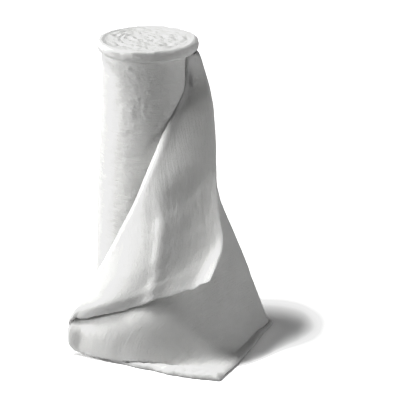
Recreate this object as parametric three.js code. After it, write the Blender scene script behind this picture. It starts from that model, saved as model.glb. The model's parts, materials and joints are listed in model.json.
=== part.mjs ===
import * as THREE from 'three';
import { mergeVertices } from 'three/addons/utils/BufferGeometryUtils.js';

// Absorbent cotton roll standing on its end, with its loose end drawn off and turned over.
// Millimetres, +Z up, origin at the middle of the roll's foot.
// +X is to the right of the roll as it is faced, and +Y runs behind it.

// The web and the roll
const ROLL_HEIGHT = 301.5;
const WEB = 4;
const GAP = 0.6;
const LAST_TURN_END = 60;
const LIP_UNDERSIDE = 289.5;

// The roll isn't quite round: its section has soft flats that lean round it with height
const UNEVEN = 0.5;
const FLATS = 3;
const FLATS_TURN = 0.9;

// How far the roll's lower edge is rounded in
const FOOT = [
	{ height: 0, inset: 3 },
	{ height: 1, inset: 1 },
];
const BODY_START = 3;

// Radius of the wound body under its last turn, from the foot up to the rim
const BODY = [
	{ height: 0, radius: 53 },
	{ height: 50, radius: 52.4 },
	{ height: 97, radius: 51 },
	{ height: 141, radius: 49.2 },
	{ height: 175, radius: 47.6 },
	{ height: 200, radius: 46 },
	{ height: 240, radius: 43.6 },
	{ height: 290, radius: 43 },
];

// The flared rim, from the neck over its widest turn to the top
const RIM = [
	{ height: 291, radius: 47 },
	{ height: 292.8, radius: 49 },
	{ height: 295.5, radius: 50 },
	{ height: 298.5, radius: 49.8 },
	{ height: 300.8, radius: 48.4 },
	{ height: 301.5, radius: 46 },
];

// The top face: the main turns show as one spiral of low waves about the middle
const TOP_RADIUS = 42;
const TOP_STEP = 3.5;
const TOP_TURN = 14;
const TOP_WAVE = 0.7;
const TOP_SINK = 1.2;

const ROLL_SIDES = 60;
const BODY_STEP = 22;
const SEAM = 0.00001;
const MERGE = 0.01;

// Sections across the loose end, in the order in which the web leaves the roll
// drawn: length of web drawn off the roll at this section
// foot: where the lower edge stands, and lie: how far the web lies on the floor before it rises
// bow: how far the inner layer bows out between the floor and the bend
// crest: the top of the bend, strip: web used by the bend, over: degrees that the web turns in it
// lean and lift: compass angle and rise of the way from the inner layer to the outer one
// hang and sag: how far the outer layer bows out and down, edge: where the upper edge of the web ends
const SECTIONS = [
	{ drawn: 0, footX: 28, footY: 47.5, lie: 0, bow: 0, crestX: 23.6, crestY: 40, crestZ: 270,
		strip: 12, over: 0, lean: 60, lift: 0, hang: 0, sag: 0, edgeX: 23.4, edgeY: 39.6, edgeZ: 286 },
	{ drawn: 30, footX: 54, footY: 32, lie: 0, bow: 0, crestX: 44, crestY: 19, crestZ: 270,
		strip: 12, over: 0, lean: 24, lift: 0, hang: 0, sag: 0, edgeX: 46, edgeY: 20, edgeZ: 286 },
	{ drawn: 55, footX: 76, footY: 19, lie: 1, bow: 5, crestX: 50.5, crestY: 0, crestZ: 274,
		strip: 12, over: 25, lean: 0, lift: 0, hang: 0, sag: 0, edgeX: 54.5, edgeY: 2, edgeZ: 288 },
	{ drawn: 78, footX: 96, footY: 7, lie: 2, bow: 9, crestX: 49, crestY: -19, crestZ: 283,
		strip: 14, over: 150, lean: -25, lift: 0, hang: 0, sag: 0, edgeX: 56, edgeY: -15, edgeZ: 278 },
	{ drawn: 95, footX: 111, footY: -2, lie: 3, bow: 12, crestX: 43, crestY: -35, crestZ: 263,
		strip: 16, over: 180, lean: -42, lift: 0, hang: 1, sag: 0, edgeX: 60, edgeY: -25, edgeZ: 264 },
	{ drawn: 118, footX: 127, footY: -18, lie: 5, bow: 13, crestX: 29, crestY: -48, crestZ: 239,
		strip: 18, over: 175, lean: -62, lift: 0, hang: 3, sag: 0, edgeX: 64.5, edgeY: -33, edgeZ: 238 },
	{ drawn: 150, footX: 115, footY: -52, lie: 8, bow: 11, crestX: 5, crestY: -57, crestZ: 189,
		strip: 22, over: 165, lean: -85, lift: 0, hang: 7, sag: 0, edgeX: 67.5, edgeY: -40, edgeZ: 202 },
	{ drawn: 185, footX: 102, footY: -90, lie: 14, bow: 12, crestX: -16, crestY: -63, crestZ: 139,
		strip: 26, over: 160, lean: -100, lift: 5, hang: 15, sag: 0, edgeX: 69.5, edgeY: -46, edgeZ: 168 },
	{ drawn: 220, footX: 89, footY: -122, lie: 26, bow: 16, crestX: -42, crestY: -71, crestZ: 89,
		strip: 32, over: 160, lean: -110, lift: 20, hang: 20, sag: 2, edgeX: 72.5, edgeY: -51, edgeZ: 132 },
	{ drawn: 255, footX: 77, footY: -148, lie: 52, bow: 14, crestX: -64, crestY: -80, crestZ: 49,
		strip: 40, over: 160, lean: -110, lift: 50, hang: 19, sag: 7, edgeX: 75.5, edgeY: -57, edgeZ: 100 },
	{ drawn: 280, footX: 70, footY: -161, lie: 95, bow: 0, crestX: -81, crestY: -91, crestZ: 16,
		strip: 42, over: 155, lean: -100, lift: 105, hang: 21, sag: 13, edgeX: 61, edgeY: -81, edgeZ: 72.5 },
];

const COLUMNS = 42;
const HEEL_ROWS = 4;
const RISE_ROWS = 13;
const BEND_ROWS = 8;
const FLAP_ROWS = 13;
const HEEL = 3;
const SPLAY = 0.1;
const STEP = 1;
const LEAST_TURN = 0.02;

// How the curves of the two layers are pulled: shares of their length, and of the bow or the hang
const RISING = { heel: 0.04, low: 0.3, high: 0.3, highBow: 0.5 };
const HANGING = { high: 0.3, highBow: 0.6, low: 0.66, lowBow: 1.4 };

const UP = new THREE.Vector3( 0, 0, 1 );

// Smooth value of one column of a table, at a place along another column
function track( rows, key, name, at ) {

	const last = rows.length - 1;
	let i = 0;
	while ( i < last - 1 && at > rows[ i + 1 ][ key ] ) i ++;
	const slope = ( k ) => {

		const a = rows[ Math.max( 0, k - 1 ) ];
		const b = rows[ Math.min( last, k + 1 ) ];
		return ( b[ name ] - a[ name ] ) / ( b[ key ] - a[ key ] );

	};
	const span = rows[ i + 1 ][ key ] - rows[ i ][ key ];
	const f = ( at - rows[ i ][ key ] ) / span;
	const start = rows[ i ][ name ];
	const end = rows[ i + 1 ][ name ];
	const rise = f * f * ( 3 - 2 * f );
	return start + ( end - start ) * rise
		+ span * slope( i ) * f * ( 1 - f ) * ( 1 - f )
		- span * slope( i + 1 ) * f * f * ( 1 - f );

}

// Radius of the roll at a compass angle and a height: the last turn adds up to one web
function rollRadius( degrees, height ) {

	const wound = THREE.MathUtils.euclideanModulo( degrees - LAST_TURN_END, 360 ) / 360;
	const inner = track( BODY, 'height', 'radius', Math.min( height, LIP_UNDERSIDE ) );
	return inner + WEB * ( 1 - wound ) + unevenness( degrees, height );

}

function unevenness( degrees, height ) {

	return UNEVEN * Math.cos( THREE.MathUtils.degToRad( FLATS * degrees + FLATS_TURN * height ) );

}

// Moves a point of the loose end's middle surface out until the web clears the roll
function clearOfRoll( point ) {

	const reach = Math.hypot( point.x, point.y );
	const degrees = THREE.MathUtils.radToDeg( Math.atan2( point.y, point.x ) );
	const rest = rollRadius( Math.min( degrees, LAST_TURN_END - MERGE ), point.z ) + GAP + WEB / 2;
	if ( reach < rest ) {

		point.x *= rest / reach;
		point.y *= rest / reach;

	}
	return point;

}

// Point at a share of the way along a Bezier curve with any number of control points
function bezier( controls, f ) {

	let points = controls;
	while ( points.length > 1 ) {

		points = points.slice( 1 ).map( ( p, i ) => points[ i ].clone().lerp( p, f ) );

	}
	return points[ 0 ];

}

// Evenly spaced points along such a curve
function spread( controls, count ) {

	const curve = new THREE.Curve();
	curve.getPoint = ( f ) => bezier( controls, f );
	return curve.getSpacedPoints( count );

}

function place( drawn, name ) {

	const along = ( axis ) => track( SECTIONS, 'drawn', name + axis, drawn );
	return new THREE.Vector3( along( 'X' ), along( 'Y' ), along( 'Z' ) );

}

// Middle line of the web across one section: up from the foot, round the bend, down the flap
function section( drawn ) {

	const value = ( name ) => track( SECTIONS, 'drawn', name, drawn );
	const degrees = ( name ) => THREE.MathUtils.degToRad( value( name ) );
	const foot = new THREE.Vector3( value( 'footX' ), value( 'footY' ), 0 );
	const crest = place( drawn, 'crest' );
	const edge = place( drawn, 'edge' );
	const lie = Math.max( 0, value( 'lie' ) );
	const turn = Math.max( degrees( 'over' ), LEAST_TURN );
	const out = new THREE.Vector3( Math.cos( degrees( 'lean' ) ), Math.sin( degrees( 'lean' ) ), 0 )
		.multiplyScalar( Math.cos( degrees( 'lift' ) ) ).addScaledVector( UP, Math.sin( degrees( 'lift' ) ) );
	const rise = crest.clone().sub( foot ).normalize();
	const ahead = place( drawn + STEP, 'crest' ).sub( place( drawn - STEP, 'crest' ) ).normalize();
	const face = new THREE.Vector3().crossVectors( rise, ahead ).normalize();
	rise.addScaledVector( out, - rise.dot( out ) ).normalize();

	// the bend is an arc that starts along the rise and turns towards the outside
	const radius = value( 'strip' ) / turn;
	const bend = ( f ) => new THREE.Vector3()
		.addScaledVector( rise, radius * Math.sin( turn * f ) )
		.addScaledVector( out, radius * ( 1 - Math.cos( turn * f ) ) );
	const inner = crest.clone().sub( bend( 0.5 ) );
	const outer = inner.clone().add( bend( 1 ) );
	const leaving = new THREE.Vector3().addScaledVector( rise, Math.cos( turn ) )
		.addScaledVector( out, Math.sin( turn ) );

	// the heel stands or lies on the floor, then the inner layer rises
	const lying = THREE.MathUtils.smoothstep( lie, 0, 2 * HEEL );
	foot.z = WEB / 2 * lying;
	const inward = inner.clone().sub( foot ).setZ( 0 );
	const run = inward.length();
	inward.normalize();
	const heel = foot.clone().addScaledVector( inward, Math.min( lie, run - HEEL ) )
		.addScaledVector( UP, HEEL * ( 1 - lying ) );
	const reach = heel.distanceTo( inner );
	const bow = value( 'bow' );
	const rising = [ heel,
		heel.clone().addScaledVector( inward, HEEL * lying ).lerp( inner, RISING.heel ),
		heel.clone().lerp( inner, RISING.low ).addScaledVector( face, bow ),
		inner.clone().addScaledVector( rise, - reach * RISING.high )
			.addScaledVector( face, bow * RISING.highBow ),
		inner ];

	// the outer layer hangs from the bend to the free edge
	const drop = outer.distanceTo( edge );
	const hang = value( 'hang' );
	const sag = value( 'sag' );
	const hanging = [ outer,
		outer.clone().addScaledVector( leaving, drop * HANGING.high )
			.addScaledVector( face, hang * HANGING.highBow ).addScaledVector( UP, - sag ),
		outer.clone().lerp( edge, HANGING.low )
			.addScaledVector( face, hang * HANGING.lowBow ).addScaledVector( UP, - sag ),
		edge ];

	const splay = new THREE.Vector3( inward.y, - inward.x, 0 ).multiplyScalar( - SPLAY * lie * lying );
	const heelLine = [ foot, foot.clone().lerp( heel, RISING.low ).add( splay ), heel ];
	const heelPoints = [];
	for ( let i = 0; i < HEEL_ROWS; i ++ ) heelPoints.push( bezier( heelLine, i / HEEL_ROWS ) );
	const bendPoints = [];
	for ( let i = 1; i < BEND_ROWS; i ++ ) bendPoints.push( inner.clone().add( bend( i / BEND_ROWS ) ) );
	const layers = [ heelPoints, spread( rising, RISE_ROWS ), bendPoints, spread( hanging, FLAP_ROWS ) ];
	return layers.flat().map( clearOfRoll );

}

// Closed body from two grids of points that share their rim
function closedSheet( outside, inside ) {

	const columns = outside.length;
	const rows = outside[ 0 ].length;
	const positions = [];
	for ( const grid of [ outside, inside ] ) {

		for ( const line of grid ) for ( const p of line ) positions.push( p.x, p.y, p.z );

	}
	const at = ( side, i, j ) => side * columns * rows + i * rows + j;
	const index = [];
	const quad = ( a, b, c, d ) => index.push( a, b, c, a, c, d );
	for ( let i = 0; i < columns - 1; i ++ ) {

		for ( let j = 0; j < rows - 1; j ++ ) {

			quad( at( 0, i, j ), at( 0, i, j + 1 ), at( 0, i + 1, j + 1 ), at( 0, i + 1, j ) );
			quad( at( 1, i, j ), at( 1, i + 1, j ), at( 1, i + 1, j + 1 ), at( 1, i, j + 1 ) );

		}
		quad( at( 0, i, 0 ), at( 0, i + 1, 0 ), at( 1, i + 1, 0 ), at( 1, i, 0 ) );
		quad( at( 0, i, rows - 1 ), at( 1, i, rows - 1 ), at( 1, i + 1, rows - 1 ), at( 0, i + 1, rows - 1 ) );

	}
	for ( let j = 0; j < rows - 1; j ++ ) {

		quad( at( 0, 0, j ), at( 1, 0, j ), at( 1, 0, j + 1 ), at( 0, 0, j + 1 ) );
		const k = columns - 1;
		quad( at( 0, k, j ), at( 0, k, j + 1 ), at( 1, k, j + 1 ), at( 1, k, j ) );

	}
	const geometry = new THREE.BufferGeometry();
	geometry.setAttribute( 'position', new THREE.Float32BufferAttribute( positions, 3 ) );
	geometry.setIndex( index );
	return geometry;

}

function looseEnd() {

	const length = SECTIONS[ SECTIONS.length - 1 ].drawn;
	const middle = [];
	for ( let i = 0; i <= COLUMNS; i ++ ) middle.push( section( length * i / COLUMNS ) );
	const rows = middle[ 0 ].length;
	const along = new THREE.Vector3();
	const across = new THREE.Vector3();
	const normal = new THREE.Vector3();
	const outside = [];
	const inside = [];
	middle.forEach( ( line, i ) => {

		const before = middle[ Math.max( 0, i - 1 ) ];
		const after = middle[ Math.min( COLUMNS, i + 1 ) ];
		outside.push( [] );
		inside.push( [] );
		line.forEach( ( point, j ) => {

			along.subVectors( after[ j ], before[ j ] );
			across.subVectors( line[ Math.min( rows - 1, j + 1 ) ], line[ Math.max( 0, j - 1 ) ] );
			normal.crossVectors( across, along ).normalize();
			const a = point.clone().addScaledVector( normal, WEB / 2 );
			const b = point.clone().addScaledVector( normal, - WEB / 2 );
			a.z = Math.max( 0, a.z );
			b.z = Math.max( 0, b.z );
			outside[ i ].push( a );
			inside[ i ].push( b );

		} );

	} );
	return closedSheet( outside, inside );

}

// Points of the roll's outline at one compass angle, from the floor over the rim to the middle
function rollOutline( degrees ) {

	const outline = FOOT.map( ( p ) => ( {
		radius: rollRadius( degrees, p.height ) - p.inset, height: p.height } ) );
	const steps = Math.round( LIP_UNDERSIDE / BODY_STEP );
	for ( let i = 0; i <= steps; i ++ ) {

		const height = BODY_START + ( LIP_UNDERSIDE - BODY_START ) * i / steps;
		outline.push( { radius: rollRadius( degrees, height ), height } );

	}
	for ( const p of RIM ) {

		outline.push( { radius: p.radius + unevenness( degrees, p.height ), height: p.height } );

	}
	for ( let radius = TOP_RADIUS; radius > TOP_STEP / 2; radius -= TOP_STEP ) {

		const wave = TOP_WAVE * Math.cos( 2 * Math.PI * ( radius / TOP_TURN + degrees / 360 ) );
		outline.push( { radius, height: ROLL_HEIGHT - TOP_SINK + wave } );

	}
	return outline;

}

// Closed body of the wound roll: a spiral section, so the last turn ends in a step
function woundRoll() {

	const positions = [ 0, 0, 0 ];
	let rings = 0;
	for ( let s = 0; s <= ROLL_SIDES; s ++ ) {

		const degrees = LAST_TURN_END + 360 * Math.min( s / ROLL_SIDES, 1 - SEAM );
		const angle = THREE.MathUtils.degToRad( degrees );
		const outline = rollOutline( degrees );
		rings = outline.length;
		for ( const p of outline ) {

			positions.push( p.radius * Math.cos( angle ), p.radius * Math.sin( angle ), p.height );

		}

	}
	const topMiddle = positions.length / 3;
	positions.push( 0, 0, ROLL_HEIGHT - TOP_SINK );
	const at = ( s, k ) => 1 + s * rings + k;
	const index = [];
	for ( let s = 0; s <= ROLL_SIDES; s ++ ) {

		const next = s === ROLL_SIDES ? 0 : s + 1;
		index.push( 0, at( next, 0 ), at( s, 0 ) );
		for ( let k = 0; k < rings - 1; k ++ ) {

			index.push( at( s, k ), at( next, k ), at( next, k + 1 ) );
			index.push( at( s, k ), at( next, k + 1 ), at( s, k + 1 ) );

		}
		index.push( at( s, rings - 1 ), at( next, rings - 1 ), topMiddle );

	}
	const geometry = new THREE.BufferGeometry();
	geometry.setAttribute( 'position', new THREE.Float32BufferAttribute( positions, 3 ) );
	geometry.setIndex( index );
	return withoutSlivers( mergeVertices( geometry, MERGE ) );

}

// Drops the triangles that merging has closed to a line
function withoutSlivers( geometry ) {

	const kept = [];
	const index = geometry.index.array;
	for ( let i = 0; i < index.length; i += 3 ) {

		const [ a, b, c ] = index.slice( i, i + 3 );
		if ( a !== b && b !== c && c !== a ) kept.push( a, b, c );

	}
	geometry.setIndex( kept );
	return geometry;

}

function piece( name, geometry, material ) {

	const mesh = new THREE.Mesh( geometry, material );
	mesh.name = name;
	return mesh;

}

function cotton( color ) {

	return new THREE.MeshStandardMaterial( { color, roughness: 0.95, metalness: 0 } );

}

const cottonRoll = new THREE.Group();
cottonRoll.add( piece( 'wound_roll', woundRoll(), cotton( '#f1f1f0' ) ) );
cottonRoll.add( piece( 'loose_end', looseEnd(), cotton( '#eeeeee' ) ) );

export default cottonRoll;
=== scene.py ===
import json
import math

import bpy
import numpy as np
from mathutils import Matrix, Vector, noise
from mathutils.bvhtree import BVHTree

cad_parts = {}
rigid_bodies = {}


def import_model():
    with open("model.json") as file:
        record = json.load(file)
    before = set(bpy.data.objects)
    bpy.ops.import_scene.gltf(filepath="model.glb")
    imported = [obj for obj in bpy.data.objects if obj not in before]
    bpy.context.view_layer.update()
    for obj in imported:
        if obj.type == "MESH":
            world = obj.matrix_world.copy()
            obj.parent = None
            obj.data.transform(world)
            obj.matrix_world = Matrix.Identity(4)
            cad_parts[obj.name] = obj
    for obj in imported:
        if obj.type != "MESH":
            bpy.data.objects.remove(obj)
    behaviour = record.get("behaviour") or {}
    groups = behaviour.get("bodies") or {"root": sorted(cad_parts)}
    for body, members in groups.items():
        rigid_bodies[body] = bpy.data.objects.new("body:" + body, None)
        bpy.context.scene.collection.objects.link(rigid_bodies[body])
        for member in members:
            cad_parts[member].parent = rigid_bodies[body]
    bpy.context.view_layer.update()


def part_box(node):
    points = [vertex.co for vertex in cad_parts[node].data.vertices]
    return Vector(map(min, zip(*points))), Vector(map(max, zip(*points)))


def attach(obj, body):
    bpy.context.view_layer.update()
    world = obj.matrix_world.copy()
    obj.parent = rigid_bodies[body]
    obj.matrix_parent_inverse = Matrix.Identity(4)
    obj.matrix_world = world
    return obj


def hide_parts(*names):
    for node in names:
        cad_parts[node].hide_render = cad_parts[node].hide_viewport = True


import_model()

bl_info = {
    "name": "Absorbent cotton roll",
    "version": (1, 0, 0),
    "blender": (4, 5, 0),
    "location": "3D View > Sidebar > Cotton",
    "description": "A wound roll of absorbent cotton with its loose end drawn off and folded over",
    "category": "Object",
}

# Metres, +Z up, the roll's foot at the origin, -Y towards the viewer
MM = 0.001
MERGE = 0.01 * MM
UP = np.array((0.0, 0.0, 1.0))
ROLL_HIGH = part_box("wound_roll")[1]
WEB = 0.004

# Lumps by kind: their height as a share, their size along x, y and z, and the seed of their noise
LUMPS = {
    "soft": (0.5, 0.2, 0.2, 0.035, 1),
    "fine": (0.5, 0.009, 0.009, 0.006, 2),
    "fuzz": (0.3, 0.004, 0.004, 0.0032, 3),
    "tuft": (3, 0.0055, 0.0055, 0.0048, 31),
    "wisp": (1.2, 0.0026, 0.0026, 0.0026, 32),
    "ruffle": (1, 1 / 7.3, 1 / 7.3, 0.006, 4),
    "fine ruffle": (0.5, 1 / 19, 1 / 19, 0.003, 5),
    "layer": (1, 1 / 2.1, 1 / 2.1, 0.0016, 33),
    "turn": (0.55, 0.019, 0.019, 1, 6),
    "fine turn": (0.25, 0.008, 0.008, 1, 34),
    "fade": (1.1, 0.014, 0.014, 1, 7),
    "dent": (0.7, 0.006, 0.006, 1, 8),
    "fine dent": (0.4, 0.0028, 0.0028, 1, 9),
    "torn": (1, 0.018, 1, 1, 11),
    "fine torn": (0.5, 0.006, 1, 1, 12),
    "fray": (1, 0.02, 1, 1, 13),
    "fine fray": (0.6, 0.007, 1, 1, 14),
    "wave": (1, 0.045, 0.05, 1, 21),
    "cloud": (1, 0.016, 0.011, 1, 22),
    "knot": (1, 0.006, 0.0055, 1, 23),
    "streak": (0.6, 0.018, 0.0040, 1, 24),
    "fine streak": (1, 0.010, 0.0025, 1, 25),
    "grain": (1, 0.005, 0.0035, 1, 26),
}
SEED_STEP = (17.3, -9.1, 5.7)

# Radius of the wound body under its last turn, by height
BODY = np.array((
    (0.000, 0.0530),
    (0.050, 0.0524),
    (0.097, 0.0510),
    (0.141, 0.0492),
    (0.175, 0.0476),
    (0.200, 0.0460),
    (0.240, 0.0436),
    (0.290, 0.0430),
))
NECK = 0.2895

# Where the last turn ends and how wide its step is, in degrees
LAST_TURN_END = 60.0
STEP_DEGREES = 10.0

# The body isn't quite round: how far, how many flats it has, and how they turn up it in degrees a metre
UNEVEN = 0.0005
FLATS = 3
FLATS_TURN = 900.0

# The outline before it is shaped: the foot from its middle by radius and height, then the plain body
FOOT = ((0.0, 0.0), (0.026, 0.0), (0.049, 0.0), (0.0515, 0.0004), (0.0533, 0.0013), (0.0545, 0.0028))
FOOT_FLAT = 0.03
FOOT_ROUND = 0.004
BODY_RADIUS = 0.055
BODY_START = 0.0045

# The rim's outline from the neck to the top: height and radius where it is full, then where it slopes
RIM = np.array((
    (0.2905, 0.0468, 0.2900, 0.0474),
    (0.2912, 0.0482, 0.2898, 0.0487),
    (0.2925, 0.0494, 0.2904, 0.0495),
    (0.2942, 0.0500, 0.2922, 0.0500),
    (0.2960, 0.0503, 0.2946, 0.0501),
    (0.2976, 0.0501, 0.2970, 0.0498),
    (0.2990, 0.0495, 0.2989, 0.0492),
    (0.3001, 0.0485, 0.3001, 0.0482),
    (0.3008, 0.0472, 0.3007, 0.0468),
    (0.3012, 0.0456, 0.3009, 0.0452),
))
SLOPE_TOWARDS = -35.0
SLOPE_SPREAD = 75.0

# Waves in the rim by height, number and turn, and how far its ruffles and layers stand out
RIM_WAVES = ((0.0006, 2, 40), (0.0004, 5, 0))
RUFFLE_OUT = 0.0007
RUFFLE_UP = 0.0004
LAYERS_OUT = 0.0012

# The top face: its edge, the middle of its turns, how far it sinks, and its pits by place, width and depth
TOP_RADIUS = 0.0440
TOP_MIDDLE = np.array((-0.005, 0.009))
TOP_EDGE_SINK = 0.0008
TOP_SINK = 0.0012
SWIRL_SHOWN = 0.35
PITS = ((-0.0319, 0.016, 0.0022, 0.0045),
        (-0.0276, -0.0206, 0.0025, 0.0012),
        (0.0206, -0.017, 0.003, 0.0012))

# Tufts pulled out of the last turn: their place round it, then heights and widths of where they come and go
TUFTS_AT = -103.0
TUFTS_SPREAD = 17.0
TUFTS_COME = (0.195, 0.06)
TUFTS_GO = (0.288, 0.006)
TUFTS_INSET = 0.4

# How finely the roll is spun
BODY_ROWS = 178
TOP_ROWS = 33
SPIN_STEPS = 210

# Sections across the loose end, with the columns of the part's own table: metres and degrees
SECTION = ("drawn", "foot_x", "foot_y", "lie", "bow", "crest_x", "crest_y", "crest_z", "strip",
           "over", "lean", "lift", "hang", "sag", "edge_x", "edge_y", "edge_z")
SECTIONS = np.array((
    (0.000, 0.0280, 0.0475, 0.000, 0.000, 0.0236, 0.0400, 0.270, 0.012,
     0, 60, 0, 0.000, 0.000, 0.0234, 0.0396, 0.2860),
    (0.030, 0.0540, 0.0320, 0.000, 0.000, 0.0438, 0.0188, 0.270, 0.012,
     0, 24, 0, 0.000, 0.000, 0.0432, 0.0188, 0.2860),
    (0.055, 0.0760, 0.0190, 0.001, 0.005, 0.0466, 0.0000, 0.279, 0.008,
     25, 0, 0, 0.000, 0.000, 0.0484, 0.0020, 0.2885),
    (0.078, 0.0960, 0.0070, 0.002, 0.009, 0.0424, -0.0207, 0.2885, 0.0045,
     150, -26, 0, 0.000, 0.000, 0.0530, -0.0060, 0.2850),
    (0.095, 0.1110, -0.0020, 0.003, 0.012, 0.0398, -0.0243, 0.259, 0.0050,
     178, -33, 0, 0.001, 0.000, 0.0600, -0.0150, 0.2640),
    (0.118, 0.1270, -0.0180, 0.005, 0.013, 0.0286, -0.0388, 0.236, 0.0070,
     175, -53, 0, 0.003, 0.000, 0.0652, -0.0280, 0.2380),
    (0.150, 0.1150, -0.0520, 0.008, 0.011, 0.0050, -0.0570, 0.189, 0.022,
     165, -85, 0, 0.007, 0.000, 0.0675, -0.0400, 0.2020),
    (0.185, 0.1020, -0.0900, 0.010, 0.012, -0.0160, -0.0630, 0.139, 0.026,
     160, -100, 5, 0.014, 0.000, 0.0695, -0.0530, 0.1708),
    (0.220, 0.0890, -0.1220, 0.014, 0.020, -0.0420, -0.0710, 0.089, 0.032,
     160, -110, 20, 0.018, 0.002, 0.0725, -0.0660, 0.1380),
    (0.255, 0.0770, -0.1480, 0.042, 0.026, -0.0640, -0.0800, 0.049, 0.038,
     160, -110, 50, 0.018, 0.007, 0.0755, -0.0830, 0.1105),
    (0.280, 0.0700, -0.1610, 0.125, 0.000, -0.0810, -0.0910, 0.0185, 0.038,
     155, -100, 105, 0.026, 0.0155, 0.0610, -0.1120, 0.0842),
))

# The heel that stands on the floor, and how far it splays as a share of what lies there
HEEL = 0.003
SPLAY = 0.1

# How the curves of the two layers are pulled, as shares of their length, their bow and their hang
RISING = {"heel": 0.04, "low": 0.3, "high": 0.3, "high_bow": 0.5}
HANGING = {"high": 0.3, "high_bow": 0.6, "low": 0.66, "low_bow": 1.4}

# The least that a section turns over, in radians
LEAST_TURN = 0.02

# Points along each section, and the one in the middle of its bend
HEEL_POINTS = 29
LAYER_POINTS = 200
BEND_POINTS = 58
BEND_AT = HEEL_POINTS + LAYER_POINTS + BEND_POINTS // 2

# The smooth surface is worked out on this many columns and rows of the flat web
KEY_COLUMNS = 190
KEY_ROWS = 401

# How deep the fold is pressed into the roll near the rim, by length drawn off
PRESSED = np.array(((0.060, 0.0), (0.080, 0.0036), (0.105, 0.0044), (0.120, 0.0046), (0.150, 0.0)))
PRESSED_SPREAD = 0.016

# The standing layer is softened before and after it is filled out: from which length drawn off and over
# how much, how far below the bend and over how much, and the blur in columns and rows
SOFTENED = (0.19, 0.03, 0.012, 0.03, (4.0, 9.0))
SOFTENED_AGAIN = (0.17, 0.05, 0.004, 0.02, (6.0, 12.0))

# The way into the picture, and how much each axis lifts a point in it
AWAY = Vector((0.0, 0.939, -0.344))
UP_THE_VIEW = np.array((0.0, 0.366, 1.0))

# How the gap between the two layers is found: which part of each counts, where the search starts, and
# what stands for no layer or for one too far off
FLAP_FROM = 0.15
STANDING_FROM = 0.10
BEND_CLEAR = 0.010
BACK_STEP = 0.03
NO_LAYER = 1.0
TOO_FAR = 0.2

# How the standing layer is filled out until it meets the flap's cut end. Here and below, a pair is where
# a soft step starts or ends and how wide it is.
LAYER_GAP = 0.0022
MOST_FORWARD = 0.038
LESS_AT_RIGHT = 0.65
RIGHT_PART = (-0.01, 0.07)
LEAST_RISE = 0.005
RISES = (0.10, 0.80)
FILLED_FROM = (0.12, 0.08)
FILLED_BELOW = 0.004
FILLED_HIGHER = 0.008
HIGHER_FROM = (0.255, 0.02)
FILL_FADE = 0.014
FILL_BLUR = (3.0, 4.0)
NEARLY_UP = 0.9

# Below which height, and from which length drawn off, the standing layer comes to rest on the floor
REST_BELOW = (0.025, 0.015)
REST_FROM = (0.235, 0.03)

# The flap's long crease: length drawn off and its place across the web, then the form beside it
CREASE = np.array(((0.150, 0.236), (0.164, 0.230), (0.224, 0.230), (0.258, 0.234), (0.280, 0.248)))
RIDGE_HEIGHT = 0.0022
RIDGE_SPREAD = 0.0065
HOLLOW_DEPTH = 0.0054
HOLLOW_AT = 0.034
HOLLOW_SPREAD = 0.023
CURL_FORWARD = 0.0066
CURL_WIDTH = 0.020
CREASED_FROM = (0.145, 0.04)
CURLED_FROM = (0.155, 0.05)

# The root runs on under the roll's last turn
ROOT_TUCK = 0.014
ROOT_RADIUS = 0.052
ROOT_SINK = 0.0028
ROOT_COLUMNS = 8

# How finely the loose end is made, and how wide its rims are: at the torn end, in front and on the floor
COLUMN_STEP = 0.00155
ROW_STEP = 0.00132
END_RIM = 0.003
SELVAGE_RIM = 0.0025
FLOOR_RIM = 0.0060
RIM_STEPS = 6

# How the cut end is torn, as shares of the length, and how the selvages fray
TORN_FROM = (4 / 15, 2 / 3)
FRAY = 0.002
FRAY_ROW = 3.0
FRAYED_FROM = (0.0, 0.02)

# How thick the web is, as shares, where it is cloudy, puffed along its torn end, feathered or flattened
CLOUDY = 0.06
PUFF_AT = (0.007, 0.010)
PUFF_ON_FLOOR = 1.5
FLOOR_PART = (0.095, 0.03)
PUFF_IN_FOLD = 1.2
PUFF_FOLD = 0.015
PUFF_PLAIN = 0.8
PUFF_KNOTS = 0.6
PUFF_CLOUDY = 0.3
FEATHERED = 0.62
FEATHER_END = (0.016, 0.014)
FEATHER_CLEAR = 0.012
FEATHER_WIDTH = 0.02
FLATTENED = 0.55
FLAT_FOLD = 0.012
FLAT_UNTIL = (0.140, 0.03)

# Heights of the web's waves, clouds, wisps and grain, and where the waves and the wisps show
WAVE_HEIGHT = 0.0010
WAVES_FROM = (0.0, 0.06)
OUTSIDE_CLOUD = 0.00015
INSIDE_CLOUD = 0.0001
WISP_HEIGHT = 0.0004
WISPS_FROM = (0.13, 0.04)
WISPS_UNTIL = (0.268, 0.03)
WISPS_BESIDE = (-0.006, 0.014)
GRAIN_HEIGHT = 0.0001

# Stray fibres: sides and joints of each, their lengths and lifts, how they curl, and where they start
FIBRE_SIDES = 3
FIBRE_JOINTS = 6
FIBRE_LENGTHS = (0.45, 1.5)
FIBRE_LIFTS = (0.02, 0.55)
FIBRE_CURL = 0.55
FIBRE_DROOP = 0.35
FIBRE_KINK = 0.12
FIBRE_TIP = 0.25
ROOT_DEPTH = 0.0002
SPOT_SPREAD = 0.0008
LOWEST_SPOT = 0.0015

# Sockets of a colour mix: its share, its two colours and the colour that comes out
MIX_SHARE, MIX_FIRST, MIX_SECOND, MIX_COLOUR = 0, 6, 7, 2

# Soft lights: the way to each, its distance, and its length and width
SOFTBOXES = {
    "key": ((-0.40, 0.07, 1.0), 12.0, (2.6, 1.3)),
    "left": ((-0.95, -0.20, 0.40), 4.0, (1.6, 1.6)),
    "right": ((1.0, -0.30, 0.10), 4.0, (1.6, 1.2)),
}
FLOOR_SIZE = 40.0
FLOOR_SHOWN = 1.55
SURROUND_SHOWN = 2.0

# The camera's place, how far it looks down in degrees, its lens in millimetres and its reach
CAMERA_AT = (0.0522, -2.0, 0.8620)
CAMERA_DOWN = 20.11
CAMERA_LENS = 187.4
CAMERA_REACH = 60.0

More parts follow.
